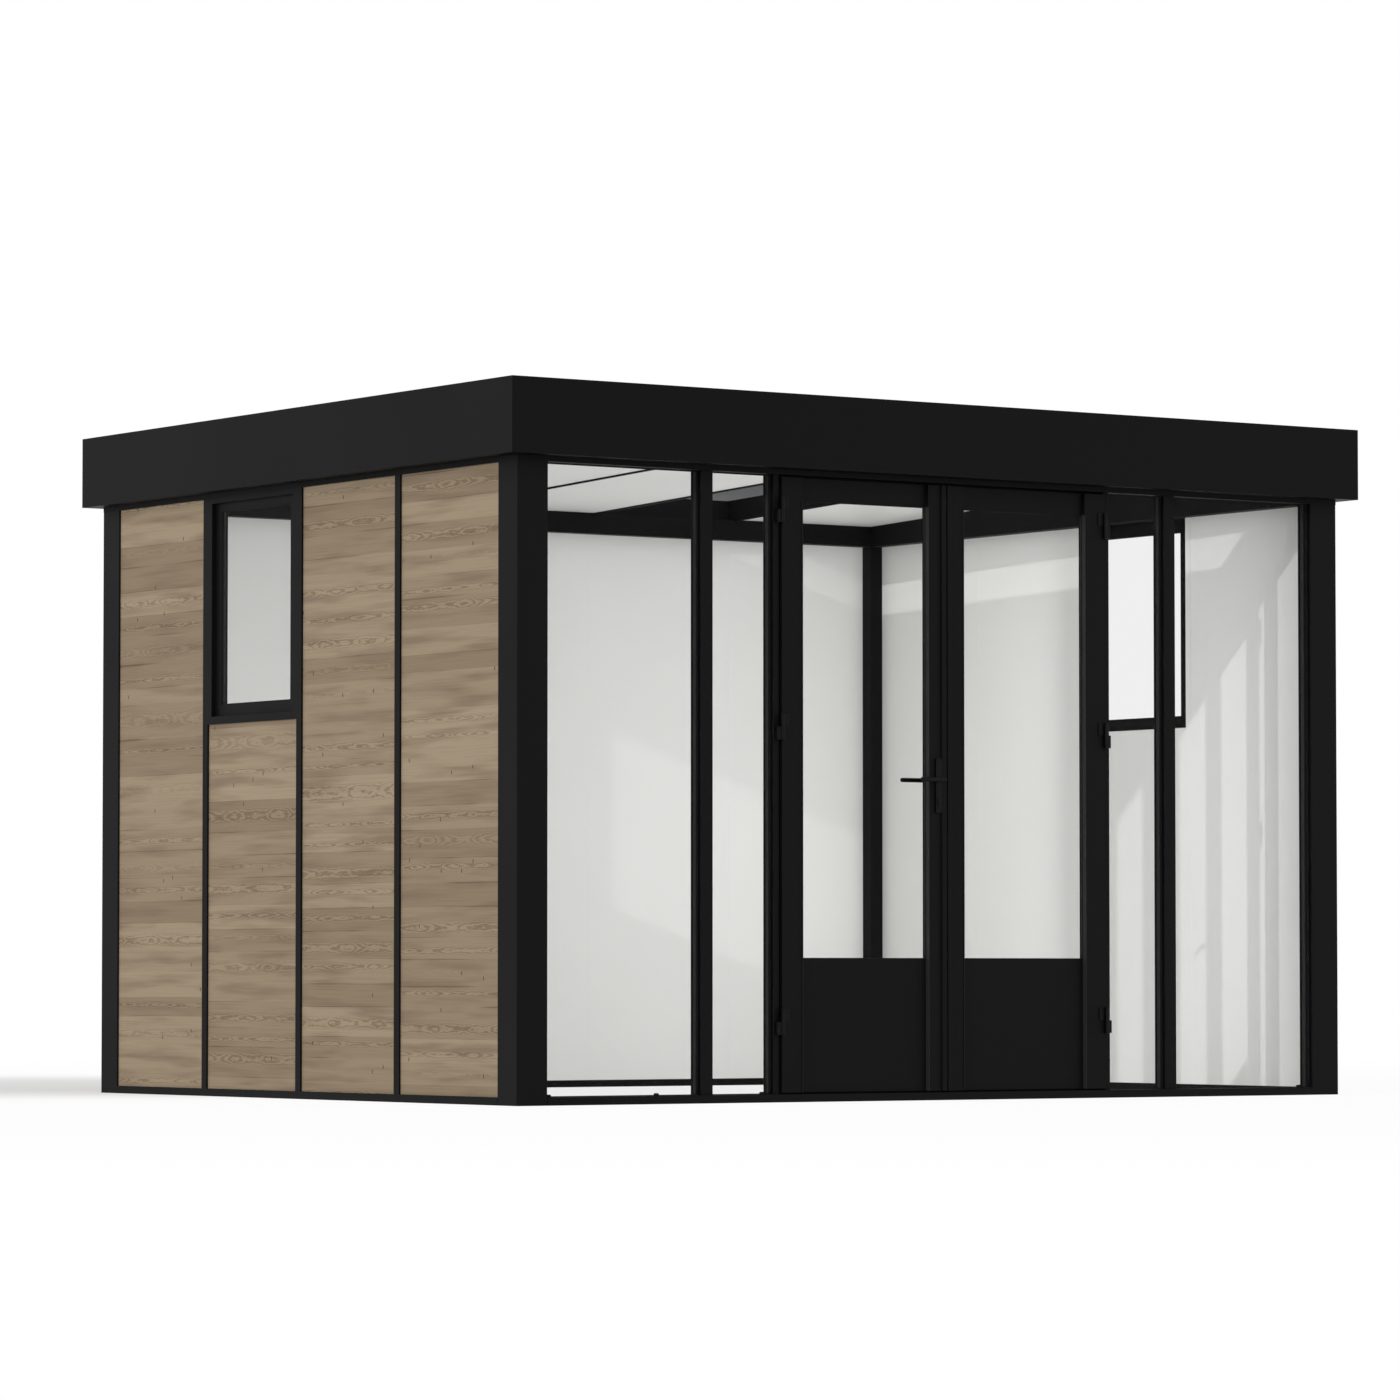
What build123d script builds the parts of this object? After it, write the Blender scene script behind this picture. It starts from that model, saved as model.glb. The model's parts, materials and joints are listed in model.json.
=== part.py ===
from build123d import *
import math
import os

# Garden office pod: aluminium frame, wood-look sandwich walls, glazed front with a double door.
# Millimetres. X runs along the front, Y from front to back, Z up, origin under the middle.

# Overall sizes
front_width = 3660.0
side_depth = 2940.0
total_height = 2500.0
roof_overhang = 60.0
fascia_height = 264.0
beam_show = 19.0

# Posts, rails and beams
post_size = 125.0
post_edge_radius = 3.0
base_rail_height = 28.0
beam_depth = 125.0
fascia_sheet = 4.0
fascia_cap_width = 95.0

# Walls
panel_thickness = 60.0
panel_recess = 7.0
profile_width = 36.0
profile_web = 4.0
panel_play = 1.0
rebate_share = 0.5
side_bays = 4
back_bays = 5
window_bay = 2

# Side windows
window_sill_height = 1377.0
window_frame_width = 72.0
window_head_width = 50.0
window_flange_share = 0.39
window_sash_recess = 17.0
window_glass_recess = 23.0
window_glass_thickness = 14.0
window_glass_lap = 7.0
window_frame_depth = 43.0
window_flange_lap = 23.0
mitre_gap = 0.3

# Front glazing
front_frame_depth = 73.0
mullion_width = 50.0
mullion_setback = 10.0
side_light_width = 260.0
doorway_width = 1502.0
pane_setback = 38.0
pane_thickness = 24.0
pane_channel = 10.0
pane_play = 0.5
shadow_groove_width = 14.0
shadow_groove_depth = 6.0
shadow_groove_offset = 4.0

# Double door
jamb_width = 24.0
jamb_stop = 15.0
threshold_rise = 12.0
head_stop_drop = 15.0
leaf_side_gap = 6.0
leaf_meeting_gap = 9.0
leaf_foot_gap = 6.0
leaf_head_gap = 8.0
leaf_thickness = 35.0
hinge_stile_width = 88.0
meeting_stile_width = 74.0
top_rail_height = 80.0
kick_top_height = 506.0
infill_setback = 17.0
infill_thickness = 18.0
leaf_glass_setback = 19.0
leaf_glass_thickness = 12.0
leaf_glass_groove = 8.0
cover_lip_width = 20.0
cover_lip_proud = 7.0
cover_lip_gap = 6.0

# Hinges
hinge_foot_distance = 249.0
hinge_head_distance = 116.0
hinge_middle_share = 0.575
hinge_barrel_length = 92.0
hinge_barrel_radius = 7.0
hinge_axis_proud = 10.0
hinge_axis_offset = 2.0
hinge_knuckle_gap = 0.3
hinge_flap_length = 28.0
hinge_flap_thickness = 4.0

# Lever handle
handle_height = 1148.0
handle_edge_distance = 33.0
handle_plate_width = 26.0
handle_plate_length = 195.0
handle_plate_rise = 77.0
handle_plate_thickness = 8.0
spindle_radius = 8.0
spindle_play = 0.5
lever_length = 100.0
lever_reach = 44.0
lever_radius = 8.0

# Roof
roof_fall = 98.0
roof_cap_gap = 18.0
roof_panel_thickness = 80.0
roof_panel_seat = 40.0
roof_profile_width = 5.0
roof_light_bay = 4
roof_light_sheet = 8.0
roof_light_glass_thickness = 16.0
sheet_play = 0.3
gutter_width = 78.0
gutter_height = 60.0
gutter_sheet = 3.0

overrun = 50.0

# Planes and lines that several pieces share
fascia_foot = total_height - fascia_height
wall_height = fascia_foot - beam_show
left, right = -front_width / 2, front_width / 2
front, back = -side_depth / 2, side_depth / 2
inner_left, inner_right = left + post_size, right - post_size
inner_front, inner_back = front + post_size, back - post_size
frame_back = front + front_frame_depth
panel_inside = panel_recess + panel_thickness
panel_rebate = panel_recess + panel_thickness * rebate_share
web_lap = (profile_width - profile_web) / 2 - panel_play
inner_lap = (profile_width - panel_play) / 2
leaf_stop_y = front + leaf_thickness + leaf_side_gap
door_half = doorway_width / 2
leaf_outer_edge = door_half - jamb_width - leaf_side_gap
leaf_meeting_edge = leaf_meeting_gap / 2
leaf_foot = base_rail_height + leaf_foot_gap
leaf_head = wall_height - leaf_head_gap
hinge_lowest = leaf_foot + hinge_foot_distance
hinge_highest = leaf_head - hinge_head_distance
hinge_middle = hinge_lowest + (hinge_highest - hinge_lowest) * hinge_middle_share
hinge_heights = (hinge_lowest, hinge_middle, hinge_highest)
hinge_axis_x = leaf_outer_edge + hinge_axis_offset
hinge_axis_y = front - hinge_axis_proud
window_flange_width = window_frame_width * window_flange_share
side_pitch = (inner_back - inner_front + profile_width) / side_bays
back_pitch = (inner_right - inner_left + profile_width) / back_bays
roof_pitch = (inner_right - inner_left) / back_bays
mullion_x = door_half + side_light_width + mullion_width / 2


def block(x_range, y_range, z_range):
    """A plain block between two corners, given as pairs in any order."""
    low = [min(pair) for pair in (x_range, y_range, z_range)]
    high = [max(pair) for pair in (x_range, y_range, z_range)]
    size = [b - a for a, b in zip(low, high)]
    return Pos(*low) * Box(*size, align=(Align.MIN, Align.MIN, Align.MIN))


def upright(outline, z_range):
    """A vertical extrusion of a plan outline, a list of X and Y points."""
    face = make_face(Polyline(*outline, close=True))
    return Pos(0, 0, min(z_range)) * extrude(face, max(z_range) - min(z_range))


def mirrored(solid):
    """The same piece on the other side of the building's middle plane."""
    return mirror(solid, about=Plane.YZ)


def save(name, *solids):
    """One node: a single solid, or like solids that stay apart."""
    pieces = list(solids)
    shape = pieces[0] if len(pieces) == 1 else Compound(children=pieces)
    shape.label = name
    export_step(shape, f"parts/{name}.step")


# Glazing channel and shadow groove, cut into the side of a front upright

def glazing_cuts(face_x, inward, front_y):
    """Cutters for one side of an upright: inward is +1 where the material lies at higher X."""
    channel_y = front + pane_setback
    groove_y = front_y + shadow_groove_offset
    heights = (0, wall_height)
    channel = block((face_x, face_x + inward * pane_channel),
                    (channel_y, channel_y + pane_thickness), heights)
    groove = block((face_x, face_x + inward * shadow_groove_depth),
                   (groove_y, groove_y + shadow_groove_width), heights)
    return channel + groove


def corner_post(x_range, y_range):
    post = block(x_range, y_range, (0, wall_height))
    return fillet(post.edges().filter_by(Axis.Z), post_edge_radius)


def front_post():
    """Left front post: an angle as deep as the front frame and as thick as the wall, with a channel for
    the wide pane in its inner side."""
    post = corner_post((left, inner_left), (front, inner_front))
    post -= block((left + panel_inside, inner_left), (frame_back, inner_front), (0, wall_height))
    return post - glazing_cuts(inner_left, -1, front)


def mullion():
    """Upright between the wide pane and the side light, on the left."""
    front_y = front + mullion_setback
    near, far = -mullion_x - mullion_width / 2, -mullion_x + mullion_width / 2
    bar = block((near, far), (front_y, frame_back), (base_rail_height, wall_height))
    return bar - glazing_cuts(near, 1, front_y) - glazing_cuts(far, -1, front_y)


def door_jamb():
    """Left jamb: carries the hinges, with a stop behind the leaf and a channel for the side light."""
    front_y = front + mullion_setback
    outer, inner = -door_half, -door_half + jamb_width
    outline = [(outer, front_y), (inner, front_y), (inner, leaf_stop_y), (inner + jamb_stop, leaf_stop_y),
               (inner + jamb_stop, frame_back), (outer, frame_back)]
    bar = upright(outline, (base_rail_height, wall_height))
    return bar - glazing_cuts(outer, 1, front_y)


def door_stop(z_range):
    """Bar across the doorway behind the leaves, between the stops of the jambs."""
    reach = door_half - jamb_width - jamb_stop - panel_play
    return block((-reach, reach), (leaf_stop_y, frame_back), z_range)


def pane(x_range):
    """Fixed double glazing, its edges held in the channels of the uprights."""
    low, high = min(x_range), max(x_range)
    tuck = pane_channel - pane_play
    y_low = front + pane_setback + pane_play
    return block((low - tuck, high + tuck),
                 (y_low, y_low + pane_thickness - 2 * pane_play),
                 (base_rail_height, wall_height))


# Side and back walls

def wall_panel(start, end, laps, z_range):
    """A wall panel in a wall's own frame: length along X, outside face towards -Y. Where it laps a joint,
    its edge is rebated round the joint's web and closes behind it."""
    low, high = laps
    outer = block((start - low * web_lap, end + high * web_lap), (panel_recess, panel_rebate), z_range)
    inner = block((start - low * inner_lap, end + high * inner_lap), (panel_rebate, panel_inside), z_range)
    return outer + inner


def joint_profile(start):
    """Cover strip with a web that stands between two panels."""
    end = start + profile_width
    middle = (start + end) / 2
    web = (middle - profile_web / 2, middle + profile_web / 2)
    heights = (base_rail_height, wall_height)
    strip = block((start, end), (0, panel_recess), heights)
    return strip + block(web, (panel_recess, panel_rebate - panel_play), heights)


def wall_pieces(length, bays, pitch, short_bay=None):
    """Panels and joint profiles of one wall; a short bay leaves room for a window."""
    panels, profiles = [], []
    for bay in range(bays):
        start = bay * pitch
        end = start + pitch - profile_width
        laps = (bay > 0, bay < bays - 1)
        top = window_sill_height + window_flange_lap if bay == short_bay else wall_height
        panels.append(wall_panel(start, end, laps, (base_rail_height, top)))
        if bay < bays - 1:
            profiles.append(joint_profile(end))
    return panels, profiles


def window_pieces(start):
    """Mitred frame members and glass of a window, in the wall's own frame."""
    end = start + side_pitch - profile_width
    low, high = window_sill_height, wall_height
    flange, sash = window_flange_width, window_frame_width
    head_scale = window_head_width / window_frame_width

    def section(scale, lap):
        """Frame section: inward distance against depth, flange in front, sash set back, rebated ear."""
        glass_back = window_glass_recess + window_glass_thickness
        lip = (sash - window_glass_lap) * scale
        return [(0, 0), (flange * scale, 0), (flange * scale, window_sash_recess),
                (sash * scale, window_sash_recess), (sash * scale, window_glass_recess),
                (lip, window_glass_recess), (lip, glass_back), (sash * scale, glass_back),
                (sash * scale, window_frame_depth), (-lap * inner_lap, window_frame_depth),
                (-lap * inner_lap, panel_rebate), (-lap * web_lap, panel_rebate),
                (-lap * web_lap, panel_recess), (0, panel_recess)]

    def member(points):
        outline = [point for i, point in enumerate(points) if point != points[i - 1]]
        return make_face(Polyline(*outline, close=True))

    jamb_face = member([(start + u, w) for u, w in section(1, 1)])
    jamb = Pos(0, 0, low) * extrude(jamb_face, high - low)
    corner_low, corner_high = low + window_frame_width, high - window_head_width
    inside = start + window_frame_width
    depth = (-overrun, panel_inside + overrun)

    def mitre_field(gap):
        """The jamb's share of the frame, between the mitre lines at its two ends, grown by a gap."""
        outline = [(start - inner_lap, low), (start + gap, low), (inside + gap, corner_low),
                   (inside + gap, corner_high), (start + gap, high), (start - inner_lap, high)]
        face = make_face(Polyline(*[(x, 0, z) for x, z in outline], close=True))
        slab = extrude(face, max(depth) - min(depth), dir=(0, 1, 0))
        return Pos(0, min(depth), 0) * slab

    middle = (start + end) / 2
    flip = Plane(origin=(middle, 0, 0), z_dir=(1, 0, 0))
    panel_top = block((start - overrun, end + overrun), (panel_recess, panel_inside),
                      (low, low + window_flange_lap))
    near = jamb & mitre_field(0)
    near -= panel_top
    far = mirror(near, about=flip)
    jamb_fields = mitre_field(mitre_gap) + mirror(mitre_field(mitre_gap), about=flip)

    def rail(z_edge, direction, scale):
        points = [(0, w, z_edge + direction * u) for u, w in section(scale, 0)]
        bar = extrude(member(points), end - start, dir=(1, 0, 0))
        return Pos(start, 0, 0) * bar - jamb_fields - panel_top

    lip = window_glass_lap
    glass = block((inside - lip, end - window_frame_width + lip),
                  (window_glass_recess, window_glass_recess + window_glass_thickness),
                  (corner_low - lip, corner_high + lip * head_scale))
    return [near, far, rail(low, 1, 1), rail(high, -1, head_scale)], glass


def on_left_wall(solid):
    """From the wall's own frame to the left wall, whose outside faces -X, counted from the back."""
    return Pos(left, inner_back, 0) * Rot(0, 0, -90) * solid


def on_back_wall(solid):
    """From the wall's own frame to the back wall, whose outside faces +Y."""
    return Pos(inner_right, back, 0) * Rot(0, 0, 180) * solid


# Roof, in a plane that falls to the back

fall = math.atan2(roof_fall, inner_back - front)
front_ceiling = total_height - fascia_sheet - roof_cap_gap - roof_panel_thickness / math.cos(fall)
ceiling = Plane(origin=(0, inner_back, front_ceiling - roof_fall), x_dir=(1, 0, 0),
                z_dir=(0, math.sin(fall), math.cos(fall)))
slope_run = (inner_back - front) / math.cos(fall)
light_run = (inner_back - inner_front) / math.cos(fall) + roof_panel_seat


def beam(x_range, y_range):
    """Roof beam whose top lies in the ceiling plane."""
    bar = block(x_range, y_range, (wall_height, total_height + overrun))
    return split(bar, bisect_by=ceiling, keep=Keep.BOTTOM)


def on_ceiling(x_range, run_range, height_range):
    """A block square to the ceiling plane; run counts down the fall from the back beam's inside."""
    return ceiling * block(x_range, run_range, height_range)


def roof_joint(bay):
    """X of the joint at the low side of a roof bay, counted from zero."""
    return inner_left + bay * roof_pitch


def roof_panels():
    """Roof panels side by side, the outer ones running on over the side beams; one bay is a roof light."""
    panels = []
    half = roof_profile_width / 2
    for bay in range(back_bays):
        low = left if bay == 0 else roof_joint(bay) + half
        high = right if bay == back_bays - 1 else roof_joint(bay + 1) - half
        if bay != roof_light_bay - 1:
            panels.append(on_ceiling((low, high), (-slope_run, roof_panel_seat), (0, roof_panel_thickness)))
    return panels


def roof_profiles():
    """Dark profiles that fill the joints between roof panels."""
    half = roof_profile_width / 2
    return [on_ceiling((roof_joint(bay) - half, roof_joint(bay) + half),
                       (-slope_run, roof_panel_seat), (0, roof_panel_thickness))
            for bay in range(1, back_bays)]


def roof_light():
    """Lined well between two roof joints, as four sheets, and the glass that lies on it."""
    half = roof_profile_width / 2
    low, high = roof_joint(roof_light_bay - 1) + half, roof_joint(roof_light_bay) - half
    run = (-light_run, roof_panel_seat)
    rise = (0, roof_panel_thickness)
    sheet = roof_light_sheet
    cheeks = [on_ceiling((x, x + sheet), run, rise) for x in (low, high - sheet)]
    across = (low + sheet + sheet_play, high - sheet - sheet_play)
    ends = [on_ceiling(across, (y, y + sheet), rise) for y in (run[0], run[1] - sheet)]
    top = roof_panel_thickness
    glass = on_ceiling((low, high), run, (top, top + roof_light_glass_thickness))
    filler = on_ceiling((low, high), (-slope_run, run[0] - sheet_play), rise)
    return cheeks + ends, glass, filler


def gutter():
    """Open gutter along the back, on the back beam behind the fascia, as five sheets that stay apart."""
    sheet = gutter_sheet
    low, high = roof_panel_seat, roof_panel_seat + gutter_width
    between = (low + sheet + sheet_play, high - sheet - sheet_play)
    rise = (sheet + sheet_play, gutter_height)
    floor = on_ceiling((left, right), (low, high), (0, sheet))
    sides = [on_ceiling((left, right), (y, y + sheet), rise) for y in (low, high - sheet)]
    ends = [on_ceiling((x, x + sheet), between, rise) for x in (left, right - sheet)]
    return [floor, *sides, *ends]


def fascia(length, depth):
    """Fascia of one side, centred on X, its face at -depth/2: face, cap and soffit, mitred ends."""
    outer = -depth / 2
    wall = outer + roof_overhang
    cap = outer + fascia_cap_width
    outline = [(0, outer, fascia_foot), (0, wall, fascia_foot), (0, wall, fascia_foot + fascia_sheet),
               (0, outer + fascia_sheet, fascia_foot + fascia_sheet),
               (0, outer + fascia_sheet, total_height - fascia_sheet),
               (0, cap, total_height - fascia_sheet), (0, cap, total_height), (0, outer, total_height)]
    bar = Pos(-length / 2, 0, 0) * extrude(make_face(Polyline(*outline, close=True)), length, dir=(1, 0, 0))
    half = length / 2
    plan = [(-half, outer), (half, outer), (half - fascia_cap_width, cap), (-half + fascia_cap_width, cap)]
    return bar & upright(plan, (fascia_foot, total_height))


# Door leaves, drawn for the left one and mirrored

def leaf_stiles():
    """Hinge stile and meeting stile, each grooved for the glass; a raised lip covers the joint."""
    heights = (leaf_foot, leaf_head)
    depth = (front, front + leaf_thickness)
    hinge_edge, meeting_edge = -leaf_outer_edge, -leaf_meeting_edge
    glass_low = hinge_edge + hinge_stile_width
    glass_high = meeting_edge - meeting_stile_width
    groove_y = (front + leaf_glass_setback, front + leaf_glass_setback + leaf_glass_thickness)
    groove_z = (kick_top_height, leaf_head - top_rail_height)
    lip_edge = -cover_lip_gap / 2
    hinge_stile = block((hinge_edge, glass_low), depth, heights)
    hinge_stile -= block((glass_low, glass_low - leaf_glass_groove), groove_y, groove_z)
    meeting_stile = block((glass_high, meeting_edge), depth, heights)
    meeting_stile -= block((glass_high, glass_high + leaf_glass_groove), groove_y, groove_z)
    lip = block((lip_edge - cover_lip_width, lip_edge), (front - cover_lip_proud, front), heights)
    return hinge_stile, meeting_stile + lip


def leaf_clear():
    """X range between the stiles of the left leaf."""
    return (-leaf_outer_edge + hinge_stile_width, -leaf_meeting_edge - meeting_stile_width)


def leaf_infill(z_range):
    """Top rail or kick panel between the stiles, set back from their faces."""
    y_low = front + infill_setback
    return block(leaf_clear(), (y_low, y_low + infill_thickness), z_range)


def leaf_glass():
    low, high = leaf_clear()
    tuck = leaf_glass_groove - pane_play
    y_low = front + leaf_glass_setback + pane_play
    return block((low - tuck, high + tuck), (y_low, y_low + leaf_glass_thickness - 2 * pane_play),
                 (kick_top_height, leaf_head - top_rail_height))


def knuckle(z_range):
    barrel = Cylinder(hinge_barrel_radius, max(z_range) - min(z_range))
    return Pos(-hinge_axis_x, hinge_axis_y, sum(z_range) / 2) * barrel


def leaf_hinges():
    """Upper knuckles, each with a flap on the leaf's face."""
    solids = []
    for height in hinge_heights:
        z_range = (height + hinge_knuckle_gap / 2, height + hinge_barrel_length / 2)
        flap = block((-hinge_axis_x, -leaf_outer_edge + hinge_flap_length),
                     (front - hinge_flap_thickness, front), z_range)
        solids.append(knuckle(z_range) + flap)
    return solids


def jamb_hinges():
    """Lower knuckles, each carried by a bracket from the jamb's face."""
    solids = []
    jamb_edge = -door_half + jamb_width
    for height in hinge_heights:
        z_range = (height - hinge_barrel_length / 2, height - hinge_knuckle_gap / 2)
        bracket = block((jamb_edge, -door_half + hinge_barrel_radius),
                        (hinge_axis_y, front + mullion_setback), z_range)
        solids.append(knuckle(z_range) + bracket)
    return solids


spindle_x = -leaf_meeting_edge - handle_edge_distance


def handle_plates():
    """Long plates on both faces of the left leaf's meeting stile, bored for the spindle."""
    half = handle_plate_width / 2
    z_high = handle_height + handle_plate_rise
    z_range = (z_high - handle_plate_length, z_high)
    x_range = (spindle_x - half, spindle_x + half)
    outside = block(x_range, (front - handle_plate_thickness, front), z_range)
    inner_face = front + leaf_thickness
    inside = block(x_range, (inner_face, inner_face + handle_plate_thickness), z_range)
    plates = []
    for plate in (outside, inside):
        edges = plate.edges().filter_by(Axis.Y)
        rounded = fillet(edges, handle_plate_width / 4)
        plates.append(rounded - spindle(spindle_radius + spindle_play))
    return plates


def spindle(radius):
    """Round bar through the leaf along Y, long enough to reach both levers."""
    low = front - handle_plate_thickness - lever_reach + lever_radius
    high = front + leaf_thickness + handle_plate_thickness + lever_reach - lever_radius
    bar = Rot(-90, 0, 0) * Cylinder(radius, high - low)
    return Pos(spindle_x, (low + high) / 2, handle_height) * bar


def levers():
    """Two levers on one spindle, both pointing towards the hinges, with round ends."""
    low = front - handle_plate_thickness - lever_reach + lever_radius
    high = front + leaf_thickness + handle_plate_thickness + lever_reach - lever_radius
    solid = spindle(spindle_radius)
    for y in (low, high):
        grip = Rot(0, -90, 0) * Cylinder(lever_radius, lever_length)
        solid += Pos(spindle_x - lever_length / 2, y, handle_height) * grip
        solid += Pos(spindle_x, y, handle_height) * Sphere(lever_radius)
        solid += Pos(spindle_x - lever_length, y, handle_height) * Sphere(lever_radius)
    return solid


def main():
    os.makedirs("parts", exist_ok=True)

    # Base rails
    rail_z = (0, base_rail_height)
    threshold = door_stop((base_rail_height, base_rail_height + threshold_rise))
    save("front_base_rail", block((inner_left, inner_right), (front, frame_back), rail_z) + threshold)
    save("back_base_rail", block((inner_left, inner_right), (back - panel_inside, back), rail_z))
    side_rail = block((left, left + panel_inside), (inner_front, inner_back), rail_z)
    save("side_base_rails", side_rail, mirrored(side_rail))

    # Posts
    back_post = corner_post((left, inner_left), (inner_back, back))
    save("front_left_post", front_post())
    save("front_right_post", mirrored(front_post()))
    save("back_left_post", back_post)
    save("back_right_post", mirrored(back_post))

    # Walls and their windows; the right wall is the left one turned round
    panels, profiles = wall_pieces(inner_back - inner_front, side_bays, side_pitch, window_bay - 1)
    frame, glass = window_pieces((window_bay - 1) * side_pitch)
    groups = {"wall_panels": panels, "wall_profiles": profiles, "window_frame": frame,
              "window_glass": [glass]}
    for name, solids in groups.items():
        placed = [on_left_wall(solid) for solid in solids]
        save(f"left_{name}", *placed)
        save(f"right_{name}", *[Rot(0, 0, 180) * solid for solid in placed])
    panels, profiles = wall_pieces(inner_right - inner_left, back_bays, back_pitch)
    save("back_wall_panels", *[on_back_wall(solid) for solid in panels])
    save("back_wall_profiles", *[on_back_wall(solid) for solid in profiles])

    # Front glazing
    save("front_mullions", mullion(), mirrored(mullion()))
    save("door_jambs", door_jamb(), mirrored(door_jamb()))
    wide = pane((inner_left, -mullion_x - mullion_width / 2))
    narrow = pane((-mullion_x + mullion_width / 2, -door_half))
    save("front_panes", wide, narrow, mirrored(narrow), mirrored(wide))

    # Roof
    head_stop = door_stop((wall_height - head_stop_drop, wall_height))
    save("front_beam", beam((left, right), (front, frame_back)) + head_stop)
    save("back_beam", beam((left, right), (inner_back, back)))
    side_beam = beam((left, left + beam_depth), (frame_back, inner_back))
    save("side_beams", side_beam, mirrored(side_beam))
    curb, light, filler = roof_light()
    save("roof_panels", *roof_panels(), filler)
    save("roof_profiles", *roof_profiles())
    save("roof_light_curb", *curb)
    save("roof_light_glass", light)
    save("roof_gutter", *gutter())
    outer_width = front_width + 2 * roof_overhang
    outer_depth = side_depth + 2 * roof_overhang
    front_fascia = fascia(outer_width, outer_depth)
    side_fascia = fascia(outer_depth, outer_width)
    save("front_fascia", front_fascia)
    save("back_fascia", Rot(0, 0, 180) * front_fascia)
    save("left_fascia", Rot(0, 0, -90) * side_fascia)
    save("right_fascia", Rot(0, 0, 90) * side_fascia)

    # Door leaves
    fixed_hinges = jamb_hinges()
    save("jamb_hinges", *fixed_hinges, *[mirrored(solid) for solid in fixed_hinges])
    hinge_stile, meeting_stile = leaf_stiles()
    bored_stile = meeting_stile - spindle(spindle_radius + spindle_play)
    save("left_door_stiles", hinge_stile, bored_stile)
    save("right_door_stiles", mirrored(hinge_stile), mirrored(meeting_stile))
    leaf = {"top_rail": [leaf_infill((leaf_head - top_rail_height, leaf_head))],
            "kick_panel": [leaf_infill((leaf_foot, kick_top_height))], "glass": [leaf_glass()],
            "hinges": leaf_hinges()}
    for name, solids in leaf.items():
        save(f"left_door_{name}", *solids)
        save(f"right_door_{name}", *[mirrored(solid) for solid in solids])
    save("handle_plates", *handle_plates())
    save("lever_handles", levers())


main()
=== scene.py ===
import json
import math

import bmesh
import bpy
from mathutils import Matrix, Vector


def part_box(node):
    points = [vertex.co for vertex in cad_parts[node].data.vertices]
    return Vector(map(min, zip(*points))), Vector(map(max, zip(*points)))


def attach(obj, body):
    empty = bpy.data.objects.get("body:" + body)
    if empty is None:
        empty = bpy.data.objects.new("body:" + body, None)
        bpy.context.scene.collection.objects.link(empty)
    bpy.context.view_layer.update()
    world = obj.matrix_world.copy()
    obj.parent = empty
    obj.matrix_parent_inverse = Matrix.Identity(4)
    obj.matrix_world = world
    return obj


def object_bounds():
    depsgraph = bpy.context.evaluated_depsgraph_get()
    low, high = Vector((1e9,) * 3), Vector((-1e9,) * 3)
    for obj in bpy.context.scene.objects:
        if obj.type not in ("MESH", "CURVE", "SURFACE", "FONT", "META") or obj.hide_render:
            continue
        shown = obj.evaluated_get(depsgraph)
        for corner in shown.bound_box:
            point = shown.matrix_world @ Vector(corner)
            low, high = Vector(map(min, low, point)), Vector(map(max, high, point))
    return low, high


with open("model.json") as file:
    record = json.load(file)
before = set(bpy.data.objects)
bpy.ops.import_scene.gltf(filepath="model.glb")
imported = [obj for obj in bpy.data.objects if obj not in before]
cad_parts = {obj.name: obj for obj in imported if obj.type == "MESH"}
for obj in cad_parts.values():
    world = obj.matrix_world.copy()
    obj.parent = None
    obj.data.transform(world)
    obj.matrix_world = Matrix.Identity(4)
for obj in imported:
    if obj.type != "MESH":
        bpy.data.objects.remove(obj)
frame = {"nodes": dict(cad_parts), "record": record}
cad_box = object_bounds()

# Garden office pod: black aluminium frame, wood-look sandwich walls, glazed front with a double door.
# Metres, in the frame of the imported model: X along the front, Y from front to back, Z up.

MM = 0.001


# Helpers: colours, shader nodes, and the solids of a CAD node

def linear(code):
    """A colour written as sRGB hex, as the linear values that shaders take."""
    channels = [int(code[i:i + 2], 16) / 255 for i in (1, 3, 5)]
    return [c / 12.92 if c <= 0.04045 else ((c + 0.055) / 1.055) ** 2.4 for c in channels] + [1.0]


def add(tree, kind, inputs=(), **settings):
    """Adds a shader node; an input is a plain value, or the node or socket that feeds it."""
    made = tree.nodes.new("ShaderNode" + kind)
    for key, value in settings.items():
        setattr(made, key, value)
    ready = [socket for socket in made.inputs if not socket.is_unavailable]
    for key, value in inputs.items() if isinstance(inputs, dict) else enumerate(inputs):
        target = ready[key] if isinstance(key, int) else next(s for s in ready if s.name == key)
        if isinstance(value, bpy.types.Node):
            value = next(socket for socket in value.outputs if not socket.is_unavailable)
        if isinstance(value, bpy.types.NodeSocket):
            tree.links.new(value, target)
        else:
            target.default_value = value
    return made


def new_material(name):
    """An empty material and its node tree."""
    material = bpy.data.materials.new(name)
    material.use_nodes = True
    material.node_tree.nodes.clear()
    return material, material.node_tree


def solids(name):
    """The separate solids of a CAD node, each as its lowest and highest corner, sorted by place."""
    mesh = bmesh.new()
    mesh.from_mesh(frame["nodes"][name].data)
    bmesh.ops.remove_doubles(mesh, verts=mesh.verts, dist=0.01 * MM)
    mesh.verts.ensure_lookup_table()
    waiting, boxes = set(mesh.verts), []
    for first in mesh.verts:
        if first not in waiting:
            continue
        waiting.remove(first)
        reached, points = [first], []
        while reached:
            vert = reached.pop()
            points.append(vert.co.copy())
            for edge in vert.link_edges:
                other = edge.other_vert(vert)
                if other in waiting:
                    waiting.remove(other)
                    reached.append(other)
        boxes.append((Vector(map(min, zip(*points))), Vector(map(max, zip(*points)))))
    mesh.free()
    return sorted(boxes, key=lambda box: tuple(round(value, 4) for value in box[0]))


# Materials, each with what its making gives the eye

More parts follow.
